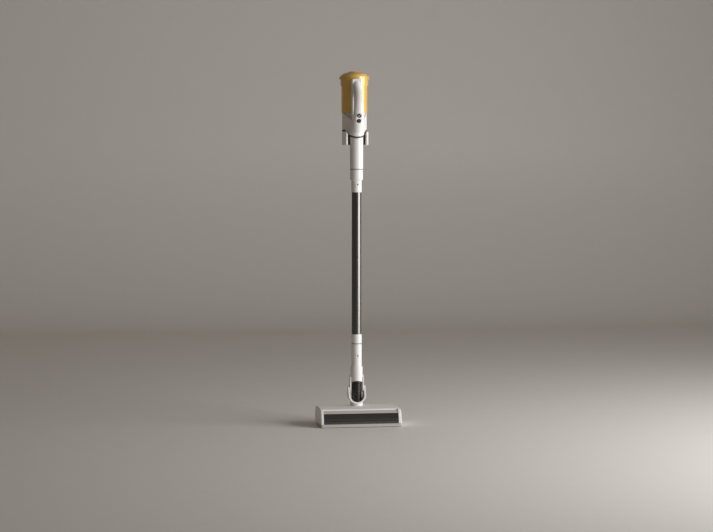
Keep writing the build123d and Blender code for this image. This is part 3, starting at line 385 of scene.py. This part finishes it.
        colour = placed(self.drift, Colour=finish.colour, Shade=finish.shade).outputs["Colour"]
        if finish.weave:
            threads = placed(self.weave).outputs["Mask"]
            dark = tuple(c * (1.0 - finish.weave) for c in finish.shade)
            colour = self._mix(tree, threads, dark, colour)
        if finish.worn:
            edges = geometry.outputs["Pointiness"]
            colour = placed(self.rub, Colour=colour, Edge=edges, Amount=finish.worn).outputs["Colour"]
        if finish.dust:
            colour = placed(self.dust, Colour=colour, Up=up.outputs[2], Amount=finish.dust).outputs["Colour"]
        tree.links.new(colour, shader.inputs["Base Color"])
        rough = placed(self.handling, Base=finish.rough, Spread=finish.rough_spread).outputs["Roughness"]
        tree.links.new(rough, shader.inputs["Roughness"])
        bump = tree.nodes.new("ShaderNodeBump")
        bump.inputs["Strength"].default_value = min(1.0, finish.grain_height * 8)
        bump.inputs["Distance"].default_value = 0.0002
        height = placed(self.grain, Scale=finish.grain).outputs["Height"]
        tree.links.new(height, bump.inputs["Height"])
        tree.links.new(bump.outputs[0], shader.inputs["Normal"])
        shader.inputs["Metallic"].default_value = finish.metal
        shader.inputs["IOR"].default_value = finish.ior
        shader.inputs["Coat Weight"].default_value = finish.coat
        shader.inputs["Coat Roughness"].default_value = 0.12
        if finish.surface is Surface.CLEAR:
            shader.inputs["Transmission Weight"].default_value = finish.through
        if finish.surface is Surface.CLOTH:
            shader.inputs["Sheen Weight"].default_value = 0.3
        self.made[finish.name] = material
        return material

    def dress(self, obj: bpy.types.Object, finish: Finish) -> None:
        """Gives a piece its finish in place of whatever it had.

        Args:
            obj: the piece.
            finish: its finish.
        """
        obj.data.materials.clear()
        obj.data.materials.append(self.material(finish))


class Workshop:
    """The modelling moves that the pieces share."""

    @staticmethod
    def clear() -> None:
        """Deselects everything and leaves edit mode."""
        if bpy.context.object and bpy.context.object.mode != "OBJECT":
            bpy.ops.object.mode_set(mode="OBJECT")
        bpy.ops.object.select_all(action="DESELECT")

    @staticmethod
    def settle(name: str, smooth: float = 35.0) -> bpy.types.Object:
        """Names the active piece, puts its place in its mesh and smooths it.

        Args:
            name: the piece's name.
            smooth: angle in degrees up to which faces blend.

        Returns:
            The piece.
        """
        if bpy.context.object.mode != "OBJECT":
            bpy.ops.object.mode_set(mode="OBJECT")
        obj = bpy.context.object
        obj.name = obj.data.name = name
        bpy.ops.object.transform_apply(location=True, rotation=True, scale=True)
        bpy.ops.object.shade_smooth_by_angle(angle=math.radians(smooth))
        log.info("%s: %d faces", name, len(obj.data.polygons))
        return obj

    @staticmethod
    def apply_all(obj: bpy.types.Object) -> None:
        """Applies every modifier on a piece."""
        for modifier in list(obj.modifiers):
            bpy.ops.object.modifier_apply(modifier=modifier.name)

    @classmethod
    def turned(cls, name: str, profile: list[Pair], centre: Vector, closed: bool, sides: int = 96) -> bpy.types.Object:
        """A turned piece about the upright: one ring extruded along its outline.

        Args:
            name: the piece's name.
            profile: (radius, height) of each ring, in metres.
            centre: foot of the axis.
            closed: whether the last ring meets the first.
            sides: faces round the ring.

        Returns:
            The piece.
        """
        cls.clear()
        radius, height = profile[0]
        bpy.ops.mesh.primitive_circle_add(vertices=sides, radius=radius, location=centre + Vector((0, 0, height)))
        bpy.ops.object.transform_apply(location=True, rotation=True, scale=True)
        bpy.ops.object.mode_set(mode="EDIT")
        bpy.ops.mesh.select_all(action="SELECT")
        steps = profile[1:] + ([profile[0]] if closed else [])
        for next_radius, next_height in steps:
            bpy.ops.mesh.extrude_region_move(TRANSFORM_OT_translate={"value": (0, 0, next_height - height)})
            ratio = next_radius / radius
            bpy.ops.transform.resize(value=(ratio, ratio, 1.0), center_override=centre + Vector((0, 0, next_height)))
            radius, height = next_radius, next_height
        bpy.ops.mesh.select_all(action="SELECT")
        if closed:
            bpy.ops.mesh.remove_doubles(threshold=1e-6)
        bpy.ops.mesh.normals_make_consistent(inside=False)
        return cls.settle(name)

    @classmethod
    def prism(cls, name: str, sides: int, radius: float, depth: float, place: Matrix,
              stretch: Pair = (1.0, 1.0), soften: float = 0.0) -> bpy.types.Object:
        """A low flat inlay: a disc or a triangle given thickness and softened edges.

        Args:
            name: the piece's name.
            sides: corners of the outline.
            radius: its size before stretching.
            depth: its thickness, downwards from its face.
            place: where its face lies, with the face normal as local Z.
            stretch: width and height factors.
            soften: bevel width on its edges.

        Returns:
            The piece.
        """
        cls.clear()
        bpy.ops.mesh.primitive_circle_add(vertices=sides, radius=radius, fill_type="NGON")
        bpy.ops.object.mode_set(mode="EDIT")
        bpy.ops.mesh.select_all(action="SELECT")
        bpy.ops.transform.resize(value=(stretch[0], stretch[1], 1.0), center_override=(0, 0, 0))
        bpy.ops.mesh.extrude_region_move(TRANSFORM_OT_translate={"value": (0, 0, -depth)})
        bpy.ops.mesh.select_all(action="SELECT")
        bpy.ops.mesh.normals_make_consistent(inside=False)
        bpy.ops.object.mode_set(mode="OBJECT")
        obj = bpy.context.object
        if soften:
            bevel = obj.modifiers.new("soften", "BEVEL")
            bevel.width, bevel.segments, bevel.limit_method = soften, 2, "ANGLE"
            cls.apply_all(obj)
        obj.matrix_world = place
        return cls.settle(name)


@dataclass
class Joints:
    """Axis of the wand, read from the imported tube."""

    wand_x: float = 0.0
    wand_y: float = 0.0

    def __post_init__(self) -> None:
        """Reads the wand's axis."""
        low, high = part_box("wand_tube")
        self.wand_y = (low.y + high.y) / 2

    def centre(self, z: float) -> Vector:
        """Point of the wand's axis at a height."""
        return Vector((self.wand_x, self.wand_y, z))


@dataclass
class JointShadowRings:
    """Dark rubber rings set into the gaps where the tubes meet; they paint the shadow line of each gap."""

    tools: NodeTools
    where: Joints
    recess: float = 0.9 * MM
    gap: float = 2.0 * MM
    slack: float = 0.12 * MM
    thickness: float = 1.3 * MM

    def build(self) -> None:
        """Makes the dark ring under the neck and the one over the socket, each painting the shadow line of its gap."""
        for name, below, above, body in (("neck_joint_shadow_ring", "upper_collar", "neck_pipe", "wand"),
                                         ("head_joint_shadow_ring", "head_socket", "lower_collar", "socket")):
            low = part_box(below)[1].z
            widths = [(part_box(node)[1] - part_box(node)[0]).x for node in (below, above)]
            outer = min(widths) / 2 - self.recess
            high = low + self.gap
            inner = outer - self.thickness
            top = high - low - self.slack
            profile = [(inner, self.slack), (outer, self.slack), (outer, top), (inner, top)]
            # a dark ring that paints the shadow line in the joint's gap
            ring = Workshop.turned(name, profile, self.where.centre(low), True)
            self.tools.dress(ring, RUBBER)
            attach(ring, body)


@dataclass
class LatchMarks:
    """Dark arrows in the round latch buttons."""

    tools: NodeTools
    half: float = 3.1 * MM
    rise: Pair = (1.62 * MM, -2.2 * MM)
    depth: float = 0.3 * MM
    lip: float = 0.06 * MM
    soften: float = 0.05 * MM

    def build(self) -> None:
        """Makes an arrow in each button, pointing down."""
        for button in ("wand_button", "head_button"):
            low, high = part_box(button)
            z = (low.z + high.z) / 2
            foot = z + self.rise[1]
            height = self.rise[0] - self.rise[1]
            size = height / 1.5
            upright = Matrix.Rotation(math.radians(90), 4, "X") @ Matrix.Rotation(math.radians(180), 4, "Z")
            place = Matrix.Translation((0, low.y + self.lip, foot + size)) @ upright
            stretch = (self.half / (size * math.cos(math.radians(30))), 1.0)
            mark = Workshop.prism(button + "_arrow", 3, size, self.depth, place, stretch, self.soften)
            self.tools.dress(mark, MARK_DARK)
            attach(mark, button)


@dataclass
class KeyMarks:
    """Signs on the two handle keys: a slanted bar and a ring."""

    tools: NodeTools
    tilt: float = 27.0
    stand: float = 0.06 * MM
    bar_turn: float = 45.0
    bar_half: Pair = (5.3, 0.75)
    bar_depth: float = 0.3 * MM
    bar_soften: float = 0.05 * MM
    ring_radii: Pair = (2.7 * MM, 3.5 * MM)
    ring_depth: float = 0.25 * MM

    def _face(self, key: str) -> Matrix:
        """Middle of a key's face, with the face normal as local Z.

        Args:
            key: the key's node.

        Returns:
            The place.
        """
        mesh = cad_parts[key].data
        normal = Vector((0, -math.cos(math.radians(self.tilt)), -math.sin(math.radians(self.tilt))))
        reach = max(v.co.dot(normal) for v in mesh.vertices)
        top = [v.co for v in mesh.vertices if v.co.dot(normal) > reach - 1e-5]
        low = Vector([min(p[i] for p in top) for i in range(3)])
        high = Vector([max(p[i] for p in top) for i in range(3)])
        side = Vector((1, 0, 0))
        turn = Matrix((side, normal.cross(side), normal)).transposed().to_4x4()
        return Matrix.Translation((low + high) / 2 + normal * self.stand) @ turn

    def build(self) -> None:
        """Makes the bar and the ring."""
        place = self._face("power_key")
        turned = place @ Matrix.Rotation(math.radians(self.bar_turn), 4, "Z")
        bar = Workshop.prism("power_key_bar", 24, 1.0 * MM, self.bar_depth, turned, self.bar_half, self.bar_soften)
        self.tools.dress(bar, MARK_WHITE)
        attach(bar, "power_key")
        place = self._face("mode_key")
        inner, outer = self.ring_radii
        profile = [(inner, -self.ring_depth), (outer, -self.ring_depth), (outer, 0.0), (inner, 0.0)]
        ring = Workshop.turned("mode_key_ring", profile, Vector((0, 0, 0)), True, 48)
        ring.data.transform(place)
        self.tools.dress(ring, MARK_GREY)
        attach(ring, "mode_key")


@dataclass
class RibbedHose:
    """Ribbed rubber hose in place of the imported plain one."""

    tools: NodeTools
    where: Joints
    pitch: float = 6.2 * MM
    rings: int = 11
    crest: float = 14.6 * MM
    valley: float = 13.3 * MM
    wall: float = 1.3 * MM
    shoulder: float = 0.35 * MM
    pivot: float = 96.0 * MM
    bend_above: float = 24.0 * MM
    bend_below: float = 26.0 * MM

    def build(self) -> None:
        """Makes the ribs and gives them a wall."""
        low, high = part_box("hose")
        profile: list[Pair] = []
        for k in range(self.rings):
            z = k * self.pitch
            for share, radius in ((0.0, self.valley), (0.16, self.valley), (0.30, self.crest - self.shoulder),
                                  (0.40, self.crest), (0.62, self.crest), (0.74, self.crest - self.shoulder),
                                  (0.88, self.valley)):
                profile.append((radius, z + share * self.pitch))
        profile.append((self.valley, high.z - low.z))
        hose = Workshop.turned("ribbed_hose", profile, self.where.centre(low.z), False, 72)
        shell = hose.modifiers.new("wall", "SOLIDIFY")
        shell.thickness, shell.offset = self.wall, -1.0
        Workshop.apply_all(hose)
        self.tools.dress(hose, HOSE)
        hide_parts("hose")
        start = self.where.centre(self.pivot + self.bend_above)
        end = self.where.centre(self.pivot - self.bend_below)
        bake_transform(hose)


@dataclass
class HeadTrim:
    """Small pieces under the floor head: screws and the felt strip behind the mouth."""

    tools: NodeTools
    screw_places: tuple[Pair, ...] = ((-0.088, 0.020), (0.088, 0.020), (-0.040, -0.010), (0.040, -0.010))
    screw_radius: float = 3.2 * MM
    screw_height: float = 0.9 * MM
    screw_stand: float = 0.25 * MM
    felt_behind: float = 21.2 * MM
    felt_drop: float = 1.2 * MM
    felt_size: tuple[float, float, float] = (0.172, 2.6 * MM, 2.4 * MM)
    felt_soften: float = 0.7 * MM

    def _screw(self, name: str, x: float, y: float, z: float) -> bpy.types.Object:
        """One screw head seen from below, with a round recess.

        Args:
            name: the piece's name.
            x: place along the head.
            y: place from front to back.
            z: height of its face.

        Returns:
            The screw.
        """
        r = self.screw_radius
        back = self.screw_height
        profile = [(0.35 * r, back), (0.35 * r, 0.35 * MM), (0.55 * r, 0.1 * MM),
                   (0.92 * r, 0.0), (r, 0.15 * MM), (r, back)]
        return Workshop.turned(name, profile, Vector((x, y, z)), True, 24)

    def build(self) -> None:
        """Makes the screws and the felt."""
        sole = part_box("head_base")[0].z
        for k, (x, y) in enumerate(self.screw_places):
            screw = self._screw(f"sole_screw_{k + 1}", x, y, sole - self.screw_stand)
            self.tools.dress(screw, STEEL)
            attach(screw, "floor_head")
        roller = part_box("roller_core")
        y = (roller[0].y + roller[1].y) / 2 + self.felt_behind
        Workshop.clear()
        bpy.ops.mesh.primitive_cube_add(size=1.0, location=(0, y, sole - self.felt_drop), scale=self.felt_size)
        bpy.ops.object.transform_apply(location=True, rotation=True, scale=True)
        bpy.ops.object.mode_set(mode="EDIT")
        bpy.ops.mesh.select_all(action="SELECT")
        bpy.ops.mesh.bevel(offset=self.felt_soften, segments=2)
        felt = Workshop.settle("sole_felt", 60)
        self.tools.dress(felt, FELT)
        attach(felt, "floor_head")


@dataclass
class CadDress:
    """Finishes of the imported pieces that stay."""

    tools: NodeTools

    def build(self) -> None:
        """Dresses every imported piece."""
        finishes: dict[Finish, tuple[str, ...]] = {
            WHITE: ("body_shell", "grip_cover", "neck_pipe", "cup_latch", "battery_case", "upper_collar",
                    "lower_collar", "head_socket", "yoke", "head_cover", "end_cap_left", "end_cap_right"),
            WHITE_TRIM: ("key_bezel", "wand_button", "head_button"),
            BLACK: ("head_base", "battery_dock", "inlet_duct", "fan_shroud", "fan_rotor", "cyclone_frame",
                    "wall_hook", "air_duct", "charge_jack"),
            KEY_BLACK: ("power_key", "mode_key"),
            GREY: ("exhaust_grille", "battery_latch", "roller_core", "castor_left", "castor_right"),
            PALE_GREY: ("bumper", "head_trim"),
            WAND: ("wand_tube",),
            AMBER: ("cup_wall", "cup_band"),
            AMBER_LID: ("cup_lid", "lid_catch"),
            SMOKE: ("head_window",),
            RUBBER: ("motor_mount", "cup_seal", "lid_seal", "drive_belt", "wheel_left", "wheel_right", "hose"),
            STEEL: ("motor_can", "lid_hinge_pin", "pivot_pins", "brush_motor", "brush_rotor", "head_axles"),
            BRASS: ("battery_contacts", "roller_bearings"),
            MESH: ("filter_mesh",),
            PAPER: ("pleated_filter",),
            FOAM: ("exhaust_filter",),
            PILE: ("bristle_strips",),
            BOARD: ("control_board",),
            CELL: ("battery_cells",),
        }
        dressed: set[str] = set()
        for finish, names in finishes.items():
            for name in names:
                self.tools.dress(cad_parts[name], finish)
                dressed.add(name)
        missing = sorted(set(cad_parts) - dressed)
        log.info("dressed %d packed pieces, left plain: %s", len(dressed), missing or "none")


@dataclass
class Studio:
    """Pale floor and backdrop, window-like light from the right and the camera."""

    tools: NodeTools
    where: Joints
    azimuth: float = -9.0
    distance: float = 5.5
    camera_height: float = 0.72
    aim_height: float = 0.4345
    lens: float = 101.2
    key_angle: float = 68.0
    key_size: Pair = (2.2, 1.7)
    key_power: float = 76.0
    key_distance: float = 2.4
    key_rise: float = 0.35
    key_colour: Colour = (1.0, 0.99, 0.985)
    fill: Colour = (0.145, 0.125, 0.104)
    sweep_radius: float = 0.8
    sweep_steps: int = 8

    def _floor(self) -> None:
        """Floor that curves up into a backdrop."""
        Workshop.clear()
        bpy.ops.mesh.primitive_plane_add(size=8.0, location=(0, -1.0, 0))
        bpy.ops.object.transform_apply(location=True, rotation=True, scale=True)
        bpy.ops.object.mode_set(mode="EDIT")
        bpy.ops.mesh.select_mode(type="EDGE")
        bpy.ops.mesh.select_all(action="DESELECT")
        work = bmesh.from_edit_mesh(bpy.context.object.data)
        for edge in work.edges:
            edge.select = all(v.co.y > 2.9 for v in edge.verts)
        bmesh.update_edit_mesh(bpy.context.object.data)
        for k in range(self.sweep_steps):
            before, angle = (math.radians(90 * n / self.sweep_steps) for n in (k, k + 1))
            step = (0, self.sweep_radius * (math.sin(angle) - math.sin(before)),
                    self.sweep_radius * (math.cos(before) - math.cos(angle)))
            bpy.ops.mesh.extrude_region_move(TRANSFORM_OT_translate={"value": step})
        bpy.ops.mesh.extrude_region_move(TRANSFORM_OT_translate={"value": (0, 0, 4.0)})
        sweep = Workshop.settle("studio_floor", 60)
        self.tools.dress(sweep, FLOOR)

    def _lamp(self, name: str, place: Vector, aim: Vector, size: Pair, power: float, colour: Colour) -> None:
        """Adds one soft area lamp.

        Args:
            name: the lamp's name.
            place: where it hangs.
            aim: what it looks at.
            size: its width and height.
            power: its power in watts.
            colour: its colour.
        """
        lamp = bpy.data.lights.new(name, "AREA")
        lamp.shape, lamp.size, lamp.size_y = "RECTANGLE", size[0], size[1]
        lamp.energy, lamp.color = power, colour
        holder = bpy.data.objects.new(name, lamp)
        holder.location = place
        holder.rotation_euler = (aim - place).to_track_quat("-Z", "Y").to_euler()
        bpy.context.scene.collection.objects.link(holder)

    def build(self) -> None:
        """Sets the floor, the light and the camera."""
        self._floor()
        turn = math.radians(self.azimuth)
        back = Vector((math.sin(turn), -math.cos(turn), 0))
        right = Vector((math.cos(turn), math.sin(turn), 0))
        key_turn = math.radians(self.key_angle)
        direction = back * math.cos(key_turn) + right * math.sin(key_turn)
        aim = self.where.centre(0.5)
        place = aim + direction * self.key_distance + Vector((0, 0, self.key_rise))
        self._lamp("window", place, aim, self.key_size, self.key_power, self.key_colour)
        world = bpy.data.worlds.new("room")
        world.use_nodes = True
        world.node_tree.nodes["Background"].inputs[0].default_value = (*self.fill, 1.0)
        bpy.context.scene.world = world
        lens = bpy.data.cameras.new("view")
        lens.lens, lens.sensor_width = self.lens, 36.0
        camera = bpy.data.objects.new("view", lens)
        target = self.where.centre(self.aim_height)
        camera.location = self.where.centre(self.camera_height) + back * self.distance
        camera.rotation_euler = (target - camera.location).to_track_quat("-Z", "Y").to_euler()
        lens.clip_end = 50.0
        bpy.context.scene.collection.objects.link(camera)
        bpy.context.scene.camera = camera
        bpy.context.scene.view_settings.view_transform = "Standard"


def main() -> None:
    """Builds the pieces in order."""
    logging.basicConfig(level=logging.INFO, format="%(message)s")
    tools = NodeTools()
    where = Joints()
    for maker in (CadDress(tools), JointShadowRings(tools, where), LatchMarks(tools), KeyMarks(tools),
                  RibbedHose(tools, where), HeadTrim(tools), Studio(tools, where)):
        maker.build()
        log.info("built %s", type(maker).__name__)


if __name__ == "__main__":
    main()
